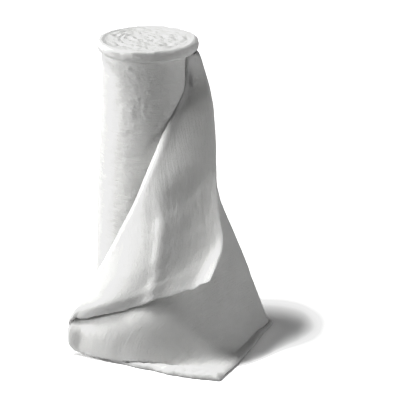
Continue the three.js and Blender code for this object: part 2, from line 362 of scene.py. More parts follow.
# Tone curve of the picture: light that comes in and light that is shown
HIGHLIGHTS = ((0.0, 0.0), (0.78, 0.78), (0.87, 0.89), (0.95, 0.924), (1.13, 0.94), (1.17, 1.0), (2.0, 2.0))
ALL_COLOURS = 3


class RollSizes(bpy.types.PropertyGroup):
    height: bpy.props.FloatProperty(
        name="Height", description="Width of the web, which is the height of the standing roll",
        default=ROLL_HIGH.z, min=0.05, max=0.6, unit="LENGTH")
    turn: bpy.props.FloatProperty(
        name="Turn pitch", description="Distance between the turns that show on the top face",
        default=0.0085, min=0.002, max=0.02, unit="LENGTH")
    relief: bpy.props.FloatProperty(
        name="Top relief", description="Height of the turns that stand out of the top face",
        default=0.0008, min=0.0, max=0.004, unit="LENGTH")
    lumps: bpy.props.FloatProperty(
        name="Lumps", description="Height of the soft lumps in the last turn",
        default=0.0005, min=0.0, max=0.003, unit="LENGTH")


class WebSizes(bpy.types.PropertyGroup):
    width: bpy.props.FloatProperty(
        name="Width", description="Flat width of the web, from selvage to selvage",
        default=0.300, min=0.05, max=0.6, unit="LENGTH")
    length: bpy.props.FloatProperty(
        name="Length drawn off", description="Flat length of web that is off the roll",
        default=0.280, min=0.05, max=0.6, unit="LENGTH")
    thickness: bpy.props.FloatProperty(
        name="Thickness", description="Thickness of the loose web",
        default=WEB, min=0.001, max=0.01, unit="LENGTH")
    ragged: bpy.props.FloatProperty(
        name="Ragged cut", description="How unevenly the cut end is torn",
        default=0.004, min=0.0, max=0.02, unit="LENGTH")


class FibreLook(bpy.types.PropertyGroup):
    count: bpy.props.IntProperty(
        name="Stray fibres", description="Fibres that stand off each piece",
        default=4200, min=0, max=6000)
    length: bpy.props.FloatProperty(
        name="Fibre length", description="Length of the stretch of fibre that stands off",
        default=0.007, min=0.001, max=0.03, unit="LENGTH")
    thickness: bpy.props.FloatProperty(
        name="Fibre thickness", description="Drawn thickness of one stray fibre or wisp",
        default=0.00012, min=0.00002, max=0.001, unit="LENGTH")


class StudioLight(bpy.types.PropertyGroup):
    key: bpy.props.FloatProperty(
        name="Key light", description="Strength of the long soft light above, behind and to the left",
        default=1.84, min=0.0, max=20.0)
    left: bpy.props.FloatProperty(
        name="Left light", description="Strength of the low soft light from the left",
        default=1.80, min=0.0, max=20.0)
    right: bpy.props.FloatProperty(
        name="Right light", description="Strength of the weak low light from the right",
        default=0.95, min=0.0, max=20.0)
    fill: bpy.props.FloatProperty(
        name="Fill", description="Light that the white surround throws on the cotton",
        default=0.208, min=0.0, max=4.0)
    contrast: bpy.props.FloatProperty(
        name="Display gamma", description="Gamma of the picture, where less is harder",
        default=0.53, min=0.2, max=2.0)


PROPERTY_GROUPS = {"cotton_roll": RollSizes, "cotton_web": WebSizes,
                   "cotton_fibre": FibreLook, "cotton_studio": StudioLight}


# Shared helpers

def linear(code):
    """Linear RGBA of an sRGB hex colour."""
    channels = [int(code[i:i + 2], 16) / 255 for i in (1, 3, 5)]
    return [c / 12.92 if c <= 0.04045 else ((c + 0.055) / 1.055) ** 2.4 for c in channels] + [1.0]


def ease(x):
    """Smooth step from 0 to 1 as x goes from 0 to 1."""
    x = np.clip(x, 0.0, 1.0)
    return x * x * (3 - 2 * x)


def past(value, start, width):
    """Smooth step from 0 to 1 as a value goes from a start over a width."""
    return ease((value - start) / width)


def short_of(value, end, width):
    """Smooth step from 1 to 0 as a value comes over a width to an end."""
    return ease((end - value) / width)


def bell(value, middle, spread):
    """Soft hump that is 1 at the middle and falls off over the spread."""
    return np.exp(-((value - middle) / spread) ** 2)


def unit(v):
    """Vectors along the last axis, made one long."""
    return v / np.maximum(np.linalg.norm(v, axis=-1, keepdims=True), 1e-12)


def lumps(kind, x, y=0.0, z=0.0):
    """Smooth noise made of one kind of lump, about as high either way as the kind's share."""
    share, *sizes, seed = LUMPS[kind]
    places = [a / size + seed * step for a, size, step in zip((x, y, z), sizes, SEED_STEP)]
    places = np.stack(np.broadcast_arrays(*places), axis=-1)
    values = [noise.noise(p) for p in places.reshape(-1, 3).tolist()]
    return share * np.array(values).reshape(places.shape[:-1])


def track(table, names, name, at):
    """Smooth value of one named column of a table, at places along its first column."""
    keys, values = table[:, 0], table[:, names.index(name)]
    last = len(keys) - 1
    before = np.maximum(np.arange(last + 1) - 1, 0)
    after = np.minimum(np.arange(last + 1) + 1, last)
    slope = (values[after] - values[before]) / (keys[after] - keys[before])
    i = np.searchsorted(keys[1:-1], at, side="left")
    span = keys[i + 1] - keys[i]
    f = (at - keys[i]) / span
    return (values[i] + (values[i + 1] - values[i]) * f * f * (3 - 2 * f)
            + span * slope[i] * f * (1 - f) ** 2 - span * slope[i + 1] * f * f * (1 - f))


def settle(obj, name):
    """Names a finished piece, smooths its shading and hangs it on the part's one body."""
    obj.name = name
    obj.data.name = name
    obj.data.polygons.foreach_set("use_smooth", np.ones(len(obj.data.polygons), bool))
    obj.data.update()
    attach(obj, "root")
    return obj


def deselect():
    """Leaves nothing selected, so that the next operator acts on its own object."""
    if bpy.context.object and bpy.context.object.mode != "OBJECT":
        bpy.ops.object.mode_set(mode="OBJECT")
    bpy.ops.object.select_all(action="DESELECT")


def mesh_object(name, points, faces=(), edges=()):
    """New object from points in the part's frame and the faces or the edges between them."""
    data = bpy.data.meshes.new(name)
    data.from_pydata(points, edges, faces)
    obj = bpy.data.objects.new(name, data)
    bpy.context.scene.collection.objects.link(obj)
    return obj


# The wound roll

def roll_radius(degrees, height):
    """Radius of the roll: the last turn adds up to one web and ends in a soft step."""
    wound = np.mod(degrees - LAST_TURN_END, 360.0)
    inner = track(BODY, ["height", "radius"], "radius", np.minimum(height, NECK))
    step = past(wound, 360.0 - STEP_DEGREES, STEP_DEGREES)
    uneven = UNEVEN * np.cos(np.radians(FLATS * degrees + FLATS_TURN * height))
    return inner + WEB * (1 - wound / 360.0 + step) + uneven


def roll_profile(height):
    """Radius and height along the roll's outline, from the middle of the foot to the middle of the top."""
    rows = list(FOOT)
    rows += [(BODY_RADIUS, z) for z in np.linspace(BODY_START, NECK - MM, BODY_ROWS)]
    rows += [(r, z) for z, r in RIM[:, :2]]
    rows += [(r, height) for r in np.linspace(TOP_RADIUS, 0.0, TOP_ROWS)]
    return rows


def wind_roll(sizes):
    """The wound body: an outline spun round the axis, then shaped turn by turn."""
    deselect()
    outline = [(r, 0.0, z) for r, z in roll_profile(sizes.height)]
    roll = mesh_object("outline", outline, edges=[(i, i + 1) for i in range(len(outline) - 1)])
    bpy.context.view_layer.objects.active = roll
    roll.select_set(True)
    bpy.ops.object.mode_set(mode="EDIT")
    bpy.ops.mesh.select_all(action="SELECT")
    bpy.ops.mesh.spin(steps=SPIN_STEPS, angle=2 * math.pi, center=(0, 0, 0), axis=(0, 0, 1))
    bpy.ops.mesh.select_all(action="SELECT")
    bpy.ops.mesh.remove_doubles(threshold=MERGE)
    bpy.ops.mesh.normals_make_consistent(inside=False)
    bpy.ops.object.mode_set(mode="OBJECT")
    steady_faces(roll.data)
    shape_roll(roll, sizes)
    return settle(roll, "cotton_roll")


def steady_faces(data):
    """Puts a spun mesh's faces in one fixed order, because the spin numbers them differently each run."""
    points = [tuple(v.co) for v in data.vertices]
    faces = []
    for face in data.polygons:
        corners = list(face.vertices)
        first = corners.index(min(corners))
        faces.append(corners[first:] + corners[:first])
    data.clear_geometry()
    data.from_pydata(points, [], sorted(faces))


def shape_roll(roll, sizes):
    """Moves every point of the spun body to the form of the wound web."""
    co = np.empty(len(roll.data.vertices) * 3)
    roll.data.vertices.foreach_get("co", co)
    co = co.reshape(-1, 3)
    radius, z = np.hypot(co[:, 0], co[:, 1]), co[:, 2]
    degrees = np.degrees(np.arctan2(co[:, 1], co[:, 0]))
    round_the_roll = np.cos(np.radians(degrees)), np.sin(np.radians(degrees))
    top = z > sizes.height - MERGE
    rim = (z > NECK - 0.5 * MM) & ~top
    slope = bell(np.mod(degrees - SLOPE_TOWARDS + 180, 360) - 180, 0.0, SLOPE_SPREAD)

    # the body and its rounded foot, whose flat middle stays
    foot = (z < FOOT_ROUND) & (radius > FOOT_FLAT)
    body = (z > 0.1 * MM) & ~rim & ~top
    inset = np.where(z < FOOT_ROUND, BODY_RADIUS - radius, 0.0)
    full = last_turn(degrees, z, round_the_roll, sizes.lumps)
    new_r = np.where(body | foot, full - inset, radius)

    rim_r, rim_z = shape_rim(degrees, z, round_the_roll, slope)
    new_r, new_z = np.where(rim, rim_r, new_r), np.where(rim, rim_z, z)
    top_r, top_z, shift = shape_top(degrees, radius / RIM[-1, 1], round_the_roll, slope, sizes)
    new_r, new_z = np.where(top, top_r, new_r), np.where(top, top_z, new_z)

    for axis in (0, 1):
        co[:, axis] = new_r * round_the_roll[axis] + np.where(top, shift[:, axis], 0.0)
    co[:, 2] = np.maximum(new_z, 0.0)
    roll.data.vertices.foreach_set("co", co.ravel())


def last_turn(degrees, z, round_the_roll, height):
    """Radius of the last turn, with its soft lumps, its fuzz and the tufts pulled out of it in front."""
    full = roll_radius(degrees, z)
    at_surface = [side * full for side in round_the_roll] + [z]
    relief = lumps("soft", *round_the_roll, z) + lumps("fine", *at_surface) + lumps("fuzz", *at_surface)
    tufty = bell(degrees, TUFTS_AT, TUFTS_SPREAD) * past(z, *TUFTS_COME) * short_of(z, *TUFTS_GO)
    tufts = np.maximum(lumps("tuft", *at_surface), 0) ** 2 + lumps("wisp", *at_surface) - TUFTS_INSET
    return full + height * (relief + tufty * tufts) * short_of(z, NECK, 0.01)


def shape_rim(degrees, z, round_the_roll, slope):
    """Radius and height of the flared rim, full on one side and sloping on the other."""
    new_r, new_z = np.zeros_like(z), np.zeros_like(z)
    wave = sum(far * np.sin(np.radians(degrees * times + turned)) for far, times, turned in RIM_WAVES)
    for full_z, full_r, slope_z, slope_r in RIM:
        row = np.abs(z - full_z) < MERGE
        new_r[row] = (full_r + (slope_r - full_r) * slope + wave)[row]
        new_z[row] = (full_z + (slope_z - full_z) * slope)[row]
    ruffle = lumps("ruffle", *round_the_roll, z) + lumps("fine ruffle", *round_the_roll, z)
    layers = lumps("layer", *round_the_roll, z)
    return new_r + RUFFLE_OUT * ruffle + LAYERS_OUT * layers, new_z + RUFFLE_UP * ruffle


def shape_top(degrees, share, round_the_roll, slope, sizes):
    """Radius, height and shift of the top face: the turns' edges in a spiral, their dents and pits."""
    full_z, full_r, slope_z, slope_r = RIM[-1]
    edge_r = full_r + (slope_r - full_r) * slope
    edge_z = full_z + (slope_z - full_z) * slope
    shift = TOP_MIDDLE * (1 - ease(share))[:, None]
    spot = [side * share * edge_r for side in round_the_roll]

    turn = share * full_r / sizes.turn + degrees / 360.0 + lumps("turn", *spot) + lumps("fine turn", *spot)
    swirl = np.cos(2 * math.pi * turn) * np.clip(SWIRL_SHOWN + lumps("fade", *spot), 0.0, 1.0)
    relief = swirl + lumps("dent", *spot) + lumps("fine dent", *spot)
    relief = sizes.relief * relief * past(share, 0.0, 1 / 4) * short_of(share, 1.0, 1 / 6)
    for pit_x, pit_y, spread, deep in PITS:
        gap = np.hypot(spot[0] + shift[:, 0] - pit_x, spot[1] + shift[:, 1] - pit_y)
        relief = relief - deep * bell(gap, 0.0, spread)
    fall = edge_z - TOP_EDGE_SINK + (sizes.height - TOP_SINK - edge_z) * (1 - share ** 2)
    return share * edge_r, fall + relief, shift


# The loose end's sections

def at(name, drawn):
    """One column of the sections' table at each length drawn off."""
    return track(SECTIONS, SECTION, name, drawn)


def place(name, drawn):
    """A named place of the sections' table at each length drawn off."""
    return np.stack([at(name + axis, drawn) for axis in ("_x", "_y", "_z")], axis=-1)


def bezier(controls, f):
    """Points along Bezier curves, one curve for each section."""
    points = [c[:, None, :] for c in controls]
    f = f[None, :, None]
    while len(points) > 1:
        points = [a * (1 - f) + b * f for a, b in zip(points, points[1:])]
    return points[0]


def sections(drawn):
    """Middle line of the web across each section: up from the foot, round the bend, down the flap."""
    angle = {n: np.radians(at(n, drawn)) for n in ("over", "lean", "lift")}
    foot = np.stack([at("foot_x", drawn), at("foot_y", drawn), 0 * drawn], axis=-1)
    crest, edge = place("crest", drawn), place("edge", drawn)
    lie = np.maximum(at("lie", drawn), 0.0)
    turn = np.maximum(angle["over"], LEAST_TURN)[:, None]
    out = np.stack([np.cos(angle["lean"]) * np.cos(angle["lift"]),
                    np.sin(angle["lean"]) * np.cos(angle["lift"]), np.sin(angle["lift"])], axis=-1)
    rise = unit(crest - foot)
    ahead = unit(place("crest", drawn + MM) - place("crest", drawn - MM))
    face = unit(np.cross(rise, ahead))
    rise = unit(rise - out * (rise * out).sum(-1, keepdims=True))

    # the bend is an arc that starts along the rise and turns towards the outside
    radius = at("strip", drawn)[:, None] / turn

    def bend(f):
        return rise * radius * np.sin(turn * f) + out * radius * (1 - np.cos(turn * f))

    inner = crest - bend(0.5)
    outer = inner + bend(1.0)
    leaving = rise * np.cos(turn) + out * np.sin(turn)

    # the heel stands or lies on the floor, then the inner layer rises
    lying = ease(lie / (2 * HEEL))[:, None]
    foot[:, 2] = WEB / 2 * lying[:, 0]
    level = (inner - foot) * (1, 1, 0)
    inward = unit(level)
    run = np.minimum(lie, np.linalg.norm(level, axis=-1) - HEEL)[:, None]
    heel = foot + inward * run + UP * HEEL * (1 - lying)
    reach = np.linalg.norm(heel - inner, axis=-1)[:, None]
    bow = at("bow", drawn)[:, None]
    pulled = heel + inward * HEEL * lying
    rising = [heel, pulled + (inner - pulled) * RISING["heel"],
              heel + (inner - heel) * RISING["low"] + face * bow,
              inner - rise * reach * RISING["high"] + face * bow * RISING["high_bow"], inner]

    # the outer layer hangs from the bend to the free edge
    drop = np.linalg.norm(outer - edge, axis=-1)[:, None]
    hang, sag = at("hang", drawn)[:, None], at("sag", drawn)[:, None] * UP
    hanging = [outer, outer + leaving * drop * HANGING["high"] + face * hang * HANGING["high_bow"] - sag,
               outer + (edge - outer) * HANGING["low"] + face * hang * HANGING["low_bow"] - sag, edge]

    side = np.stack([inward[:, 1], -inward[:, 0], 0 * drawn], axis=-1)
    splay = side * (-SPLAY * lie[:, None] * lying)
    heel_line = [foot, foot + (heel - foot) * RISING["low"] + splay, heel]
    arc = np.stack([inner + bend(f) for f in np.linspace(0, 1, BEND_POINTS + 2)[1:-1]], axis=1)
    line = np.concatenate([bezier(heel_line, np.linspace(0, 1, HEEL_POINTS + 1)[:-1]),
                           bezier(rising, np.linspace(0, 1, LAYER_POINTS)), arc,
                           bezier(hanging, np.linspace(0, 1, LAYER_POINTS))], axis=1)
    return press_flat(clear_of_roll(line), drawn)


def clear_of_roll(points):
    """Moves the web's middle out until it lies on the roll."""
    reach = np.hypot(points[..., 0], points[..., 1])
    degrees = np.degrees(np.arctan2(points[..., 1], points[..., 0]))
    rest = roll_radius(np.minimum(degrees, LAST_TURN_END - STEP_DEGREES), points[..., 2]) + WEB / 2
    out = np.maximum(rest / reach, 1.0)
    return points * np.stack([out, out, np.ones_like(out)], axis=-1)


def press_flat(line, drawn):
    """Presses the fold into the roll where it starts near the rim."""
    along = np.cumsum(np.linalg.norm(np.diff(line, axis=1, prepend=line[:, :1]), axis=2), axis=1)
    deep = np.interp(drawn, PRESSED[:, 0], PRESSED[:, 1])[:, None]
    pressed = deep * bell(along, along[:, BEND_AT:BEND_AT + 1], PRESSED_SPREAD)
    return line - unit(line * (1, 1, 0)) * pressed[..., None]


def resample(lines, shares):
    """Points at the given shares of each line's length."""
    found = np.empty((len(lines), len(shares), 3))
    for line, row in zip(lines, found):
        steps_along = np.linalg.norm(np.diff(line, axis=0), axis=1)
        length = np.concatenate([[0], np.cumsum(steps_along)])
        for axis in range(3):
            row[:, axis] = np.interp(shares * length[-1], length, line[:, axis])
    return found


# The loose end's smooth surface, over columns of length drawn off (u) and rows across the web (v)

def soften(points, spread):
    """Points of a grid, blurred along both sides of it, with the grid's own border left in place."""
    for axis, width in enumerate(spread):
        reach = int(3 * width)
        lead = [(0, 0)] * points.ndim
        lead[axis] = (reach, reach)
        padded = np.pad(points, lead, mode="reflect", reflect_type="odd")
        weights = np.exp(-0.5 * (np.arange(-reach, reach + 1) / width) ** 2)
        blurred = 0.0
        for k, share in enumerate(weights / weights.sum()):
            blurred = blurred + share * padded.take(range(k, k + points.shape[axis]), axis=axis)
        points = blurred
    return points


def soften_standing(points, u, v, crest, start, width, below, fade, spread):
    """Blurs the standing layer from a length drawn off on, up to a little below the bend."""
    share = past(u, start, width) * short_of(v, crest - below, fade)
    return points + (soften(points, spread) - points) * share[..., None]


def grid_normal(points):
    """Direction square to a grid of points, towards the web's outside."""
    return unit(np.cross(np.gradient(points, axis=1), np.gradient(points, axis=0)))


def layer_tree(middle, chosen):
    """Search tree of the part of a grid's faces whose first corners are chosen."""
    index = np.arange(chosen.size).reshape(chosen.shape)
    corners = np.stack([index[:-1, :-1], index[:-1, 1:], index[1:, 1:], index[1:, :-1]], axis=-1)
    return BVHTree.FromPolygons(middle.reshape(-1, 3).tolist(), corners[chosen[:-1, :-1]].tolist())


def gap_to(tree, points, way):
    """How far each point is from a layer the given way, or a large gap where it meets nothing."""
    found = [tree.ray_cast(Vector(p) - way * BACK_STEP, way)[3] for p in points]
    return np.array([NO_LAYER if f is None else f - BACK_STEP for f in found])


def room_behind_cut(middle, u, v, crest):
    """The flap's cut end from left to right: its place, its height in the view and the way to fill out."""
    standing = layer_tree(middle, (u > STANDING_FROM) & (v < crest - BEND_CLEAR))
    cut = middle[-1, v[-1] > crest[-1] + BEND_CLEAR]
    cut = cut[np.argsort(cut[:, 0])]
    gap = gap_to(standing, cut, AWAY)
    met = gap < TOO_FAR
    gap = np.interp(cut[:, 0], cut[met, 0], gap[met])
    share = 1 - LESS_AT_RIGHT * past(cut[:, 0], *RIGHT_PART)
    return cut[:, 0], cut @ UP_THE_VIEW, np.clip(gap - LAYER_GAP, 0.0, MOST_FORWARD) * share


def fill_out(middle, u, v, crest):
    """Brings the standing layer forward until it touches the flap's cut end, as soft as a pillow."""
    flap = layer_tree(middle, (u > FLAP_FROM) & (v > crest + BEND_CLEAR))
    cut_x, cut_height, forward = room_behind_cut(middle, u, v, crest)
    x, height = middle[..., 0], middle @ UP_THE_VIEW
    standing = v[-1] < crest[-1] - BEND_CLEAR
    order = np.argsort(x[-1, standing])
    floor_height = np.interp(x, x[-1, standing][order], height[-1, standing][order])

    # nothing moves at the floor, all of it at the cut end, and no more than there is room for
    whole = np.maximum(np.interp(x, cut_x, cut_height) - floor_height, LEAST_RISE)
    rise = (height - floor_height) / whole
    shift = np.interp(x, cut_x, forward) * past(rise, *RISES) * past(u, *FILLED_FROM)
    shift *= short_of(v, crest - FILLED_BELOW + FILLED_HIGHER * past(u, *HIGHER_FROM), FILL_FADE)
    under = np.nonzero((shift > MERGE) & (rise > NEARLY_UP))
    room = gap_to(flap, middle[under], -AWAY) - LAYER_GAP
    shift[under] = np.clip(np.minimum(shift[under], room), 0.0, None)
    return middle - soften(shift, FILL_BLUR)[..., None] * np.array(AWAY)


def crease_flap(table, u, v):
    """Gives the flap its long crease with a hollow beside it, and curls its selvage forward."""
    from_crease = v - np.interp(u, CREASE[:, 0], CREASE[:, 1])
    ridge = RIDGE_HEIGHT * bell(from_crease, 0.0, RIDGE_SPREAD)
    hollow = HOLLOW_DEPTH * bell(from_crease, HOLLOW_AT, HOLLOW_SPREAD)
    table = table - grid_normal(table) * ((ridge - hollow) * past(u, *CREASED_FROM))[..., None]
    in_curl = np.clip((v - v.max()) / CURL_WIDTH + 1, 0, 1) ** 2
    return table - np.array(AWAY) * (CURL_FORWARD * in_curl * past(u, *CURLED_FROM))[..., None]


def rest_on_floor(table, u, v, crest):
    """Lays the lowest part of the standing layer's torn end on the floor."""
    height = table[..., 2]
    low = short_of(height, *REST_BELOW) * past(u, *REST_FROM) * (v < crest)
    return table - UP * ((height - WEB / 2) * low)[..., None]


def fold_table(sizes):
    """The smooth folded surface as a grid over the flat web, and how far across the bend lies."""
    key = np.linspace(0, sizes.length, KEY_COLUMNS)
    lines = sections(key)
    table = resample(lines, np.linspace(0, 1, KEY_ROWS))
    step_along = np.linalg.norm(np.diff(lines, axis=1), axis=2)
    bend_v = sizes.width * step_along[:, :BEND_AT].sum(1) / step_along.sum(1)
    u, v = np.meshgrid(key, np.linspace(0, sizes.width, KEY_ROWS), indexing="ij")
    crest = np.broadcast_to(bend_v[:, None], u.shape)

    table = soften_standing(table, u, v, crest, *SOFTENED)
    table = fill_out(table, u, v, crest)
    table = soften_standing(table, u, v, crest, *SOFTENED_AGAIN)
    return rest_on_floor(crease_flap(table, u, v), u, v, crest), bend_v


# The loose end's finished mesh

def steps(length, spacing, rim):
    """Places from 0 to length, closer together near both ends so that the rim is round."""
    near = rim * (1 - np.cos(np.linspace(0, math.pi / 2, RIM_STEPS)))
    count = round((length - 2 * near[-1]) / spacing)
    between = np.linspace(near[-1], length - near[-1], count + 1)[1:-1]
    return np.concatenate([near, between, length - near[::-1]])


def torn_places(sizes, u, v):
    """Where each point is read on the smooth surface: the cut end is torn and the selvages fray."""
    torn = sizes.ragged * (0.5 + 0.5 * np.clip(lumps("torn", v) + lumps("fine torn", v), -1, 1))
    torn_u = u * (1 - torn / sizes.length * past(u / sizes.length, *TORN_FROM))
    shares = v / sizes.width
    fray = FRAY * (lumps("fray", u, z=FRAY_ROW) + lumps("fine fray", u, z=FRAY_ROW))
    frayed = np.clip(shares + fray * (2 * shares - 1) * past(u, *FRAYED_FROM), 0.0, 1.0)
    return np.where(u > 0, torn_u, u), frayed


def read_table(table, length, u, shares):
    """Points of the smooth surface at lengths drawn off and shares of the width."""
    column = np.clip(u, 0, length) / length * (KEY_COLUMNS - 1)
    row = shares * (KEY_ROWS - 1)
    i, j = np.minimum(column.astype(int), KEY_COLUMNS - 2), np.minimum(row.astype(int), KEY_ROWS - 2)
    a, b = (column - i)[..., None], (row - j)[..., None]
    return ((table[i, j] * (1 - a) + table[i + 1, j] * a) * (1 - b)
            + (table[i, j + 1] * (1 - a) + table[i + 1, j + 1] * a) * b)


def tuck_root(middle, along, u):
    """The root runs on round the roll and sinks under its last turn."""
    angle = np.radians(LAST_TURN_END) - u / ROOT_RADIUS
    z = middle[np.argmin(np.abs(along)), :, 2] + 0 * u
    sunk = roll_radius(np.degrees(angle), z) - WEB / 2 - ROOT_SINK * ease(-u / ROOT_TUCK)
    wrapped = np.stack([sunk * np.cos(angle), sunk * np.sin(angle), z], axis=-1)
    return np.where((u < 0)[..., None], wrapped, middle)


def half_thickness(sizes, u, v, crest, cloud):
    """Half of the web's thickness: puffed along its torn end, feathered on the flap, flat in the fold."""
    to_end = sizes.length - u
    on_floor = short_of(v, *FLOOR_PART)
    puff = bell(to_end, *PUFF_AT) * (PUFF_ON_FLOOR * on_floor + PUFF_IN_FOLD * bell(v, crest, PUFF_FOLD))
    puff *= PUFF_PLAIN + (PUFF_KNOTS * lumps("knot", u, v) + PUFF_CLOUDY * cloud) * on_floor
    feathered = FEATHERED * short_of(to_end, *FEATHER_END) * past(v, crest + FEATHER_CLEAR, FEATHER_WIDTH)
    flattened = FLATTENED * bell(v, crest, FLAT_FOLD) * short_of(u, *FLAT_UNTIL)
    return sizes.thickness / 2 * (1 + CLOUDY * cloud + puff - flattened - feathered)


def drape_web(sizes):
    """The loose end: two skins of one web, drawn off the roll, folded over and torn at its end."""
    tuck = np.linspace(-ROOT_TUCK, 0, ROOT_COLUMNS)[:-1]
    along = np.concatenate([tuck, steps(sizes.length, COLUMN_STEP, END_RIM)])
    across = steps(sizes.width, ROW_STEP, SELVAGE_RIM)
    u, v = np.meshgrid(along, across, indexing="ij")
    table, bend_v = fold_table(sizes)
    crest = np.interp(u, np.linspace(0, sizes.length, KEY_COLUMNS), bend_v)
    middle = tuck_root(read_table(table, sizes.length, *torn_places(sizes, u, v)), along, u)
    normal = grid_normal(middle)
    middle = middle + normal * (WAVE_HEIGHT * lumps("wave", u, v) * past(u, *WAVES_FROM))[..., None]

    # the thickness runs out in a round rim
    to_rim = np.minimum(v / FLOOR_RIM, (sizes.width - v) / SELVAGE_RIM)
    to_rim = np.clip(np.minimum(to_rim, (sizes.length - u) / END_RIM), 0, 1)
    round_rim = np.sqrt(1 - (1 - to_rim) ** 2)
    cloud = lumps("cloud", u, v)
    half = half_thickness(sizes, u, v, crest, cloud)

    # the flap shows the web's inner face, mottled with wisps that run along it
    from_crease = v - np.interp(u, CREASE[:, 0], CREASE[:, 1])
    mottled = past(u, *WISPS_FROM) * short_of(u, *WISPS_UNTIL) * past(from_crease, *WISPS_BESIDE)
    streak = WISP_HEIGHT * mottled * (lumps("streak", u, v) + lumps("fine streak", u, v))
    grain = GRAIN_HEIGHT * lumps("grain", u, v)
    outside = middle + normal * ((half + OUTSIDE_CLOUD * cloud + grain) * round_rim)[..., None]
    inside = middle - normal * ((half + INSIDE_CLOUD * cloud + grain + streak) * round_rim)[..., None]
    return settle(close_skins(outside, inside, u, v), "cotton_web")


def close_skins(outside, inside, u, v):
    """One closed mesh of two skins that share the points of their rim, with the flat web as UV map."""
    columns, rows = u.shape
    edge = np.zeros(u.shape, bool)
    edge[0], edge[-1], edge[:, 0], edge[:, -1] = True, True, True, True
    outer_index = np.arange(columns * rows).reshape(u.shape)
    inner_index = outer_index.copy()
    inner_index[~edge] = columns * rows + np.arange((~edge).sum())
    rim = ((outside + inside) / 2)[edge]
    outside = outside.copy()
    outside[edge] = rim
    points = np.concatenate([outside.reshape(-1, 3), inside[~edge]])
    points[:, 2] = np.maximum(points[:, 2], 0.0)

    def quads(index, flip):
        a, b, c, d = index[:-1, :-1], index[:-1, 1:], index[1:, 1:], index[1:, :-1]
        corners = (a, d, c, b) if flip else (a, b, c, d)
        return np.stack([c.ravel() for c in corners], axis=1)

    faces = np.concatenate([quads(outer_index, False), quads(inner_index, True)])
    web = mesh_object("web", points.tolist(), faces.tolist())
    flat_u = np.concatenate([u.ravel(), u[~edge]])
    flat_v = np.concatenate([v.ravel(), v[~edge]])
    layer = web.data.uv_layers.new(name="flat_web")
    uv = np.stack([flat_u[faces].ravel(), flat_v[faces].ravel()], axis=1)
    layer.data.foreach_set("uv", uv.astype(np.float32).ravel())
    return web


# Stray fibres

def surface_spots(obj, count, rng):
    """Random spots on an object's faces: place, normal and one direction in the surface."""
    data = obj.data
    faces = len(data.polygons)
    area, centre, normal = np.empty(faces), np.empty(faces * 3), np.empty(faces * 3)
    data.polygons.foreach_get("area", area)
    data.polygons.foreach_get("center", centre)
    data.polygons.foreach_get("normal", normal)
    centre, normal = centre.reshape(-1, 3), normal.reshape(-1, 3)
    area = area * (centre[:, 2] > LOWEST_SPOT)
    pick = rng.choice(faces, size=count, p=area / area.sum())
    centre, normal = centre[pick], normal[pick]
    sideways = unit(np.cross(normal, rng.normal(size=(count, 3))))
    return centre + sideways * rng.uniform(0, SPOT_SPREAD, (count, 1)), normal, sideways


def tease_fibres(obj, name, look, seed):
    """Fine curling fibres that stand off a piece, as one mesh of three-sided strands."""
    rng = np.random.default_rng(seed)
    count = look.count
    place_at, normal, along = surface_spots(obj, count, rng)
    length = look.length * rng.uniform(*FIBRE_LENGTHS, (count, 1))
    heading = unit(along + normal * rng.uniform(*FIBRE_LIFTS, (count, 1)) ** 1.5)
    curl = unit(np.cross(heading, normal)) * rng.normal(0, FIBRE_CURL, (count, 1))
    curl -= normal * rng.uniform(0.0, FIBRE_DROOP, (count, 1))
    spine = [place_at - normal * ROOT_DEPTH]
    for _ in range(FIBRE_JOINTS):
        spine.append(spine[-1] + heading * length / FIBRE_JOINTS)
        heading = unit(heading + curl / FIBRE_JOINTS * 2 + rng.normal(0, FIBRE_KINK, (count, 3)))
    spine = np.stack(spine, axis=1)
    spine[..., 2] = np.maximum(spine[..., 2], look.thickness)

    taper = np.linspace(1.0, FIBRE_TIP, FIBRE_JOINTS + 1)[None, :, None]
    first, second = normal[:, None, :], np.cross(along, normal)[:, None, :]
    sides = []
    for turn in np.arange(FIBRE_SIDES) * 2 * math.pi / FIBRE_SIDES:
        sides.append(spine + (first * math.cos(turn) + second * math.sin(turn)) * taper * look.thickness / 2)
    ring = np.stack(sides, axis=2)
    index = np.arange(count * (FIBRE_JOINTS + 1) * FIBRE_SIDES).reshape(count, FIBRE_JOINTS + 1, FIBRE_SIDES)
    here, there = index[:, :-1], index[:, 1:]
    faces = np.stack([here, np.roll(here, -1, axis=2), np.roll(there, -1, axis=2), there], axis=-1)
    strands = mesh_object(name, ring.reshape(-1, 3).tolist(), faces.reshape(-1, 4).tolist())
    return settle(strands, name)


# Materials

def add(tree, kind, settings=None, **links):
    """Adds a shader node, sets its values and sockets, and links its inputs to other nodes' outputs."""
    node = tree.nodes.new("ShaderNode" + kind)
    for key, value in (settings or {}).items():
        if key in node.inputs:
            node.inputs[key].default_value = value
        else:
            setattr(node, key, value)
    for key, source in links.items():
        tree.links.new(source, node.inputs[key.replace("_", " ")])
    return node


def bare_material(name):
    """New material and its node tree, with no nodes in it yet."""
    material = bpy.data.materials.new(name)
    material.use_nodes = True
    material.node_tree.nodes.clear()
    return material, material.node_tree


def tinted(tree, noise_node, colour, shade):
    """Colour that drifts from one tone to another with a noise."""
    tint = add(tree, "Mix", {"data_type": "RGBA"})
    tint.inputs[MIX_FIRST].default_value = linear(colour)
    tint.inputs[MIX_SECOND].default_value = linear(shade)
    tree.links.new(noise_node.outputs["Fac"], tint.inputs[MIX_SHARE])
    return tint.outputs[MIX_COLOUR]


def thrown_and_shown(tree, thrown, shown):
    """Shader that throws light one way and shows itself to the camera another way."""
    ray = add(tree, "LightPath")
    mix = add(tree, "MixShader")
    for socket, source in enumerate((ray.outputs["Is Camera Ray"], thrown.outputs[0], shown.outputs[0])):
        tree.links.new(source, mix.inputs[socket])
    return mix.outputs[0]


